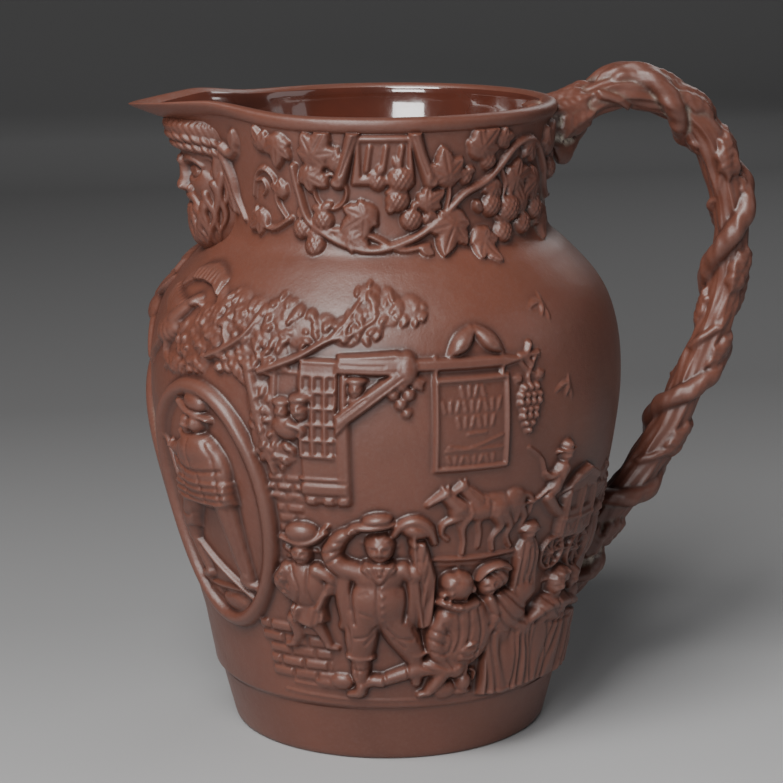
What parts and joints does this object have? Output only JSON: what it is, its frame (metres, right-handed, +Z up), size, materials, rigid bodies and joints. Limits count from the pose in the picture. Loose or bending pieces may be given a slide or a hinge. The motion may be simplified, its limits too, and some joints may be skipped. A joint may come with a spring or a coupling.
{
  "type": "relief-moulded jug",
  "caption": "Baluster jug in red-brown stoneware, with a pouring lip over a bearded mask, a looped vine handle and a belly moulded in low relief.",
  "frame": {"origin": "middle of the flat underside, on the axis of the body", "axes": "+Z up along the axis of the body, the spout along -X and the handle along +X, the picture side facing -Y"},
  "size_m": [0.1904, 0.1449, 0.1992],
  "materials": {
    "stoneware": "satin"
  },
  "bodies": {
    "root": {"jug": "stoneware"}
  },
  "joints": []
}
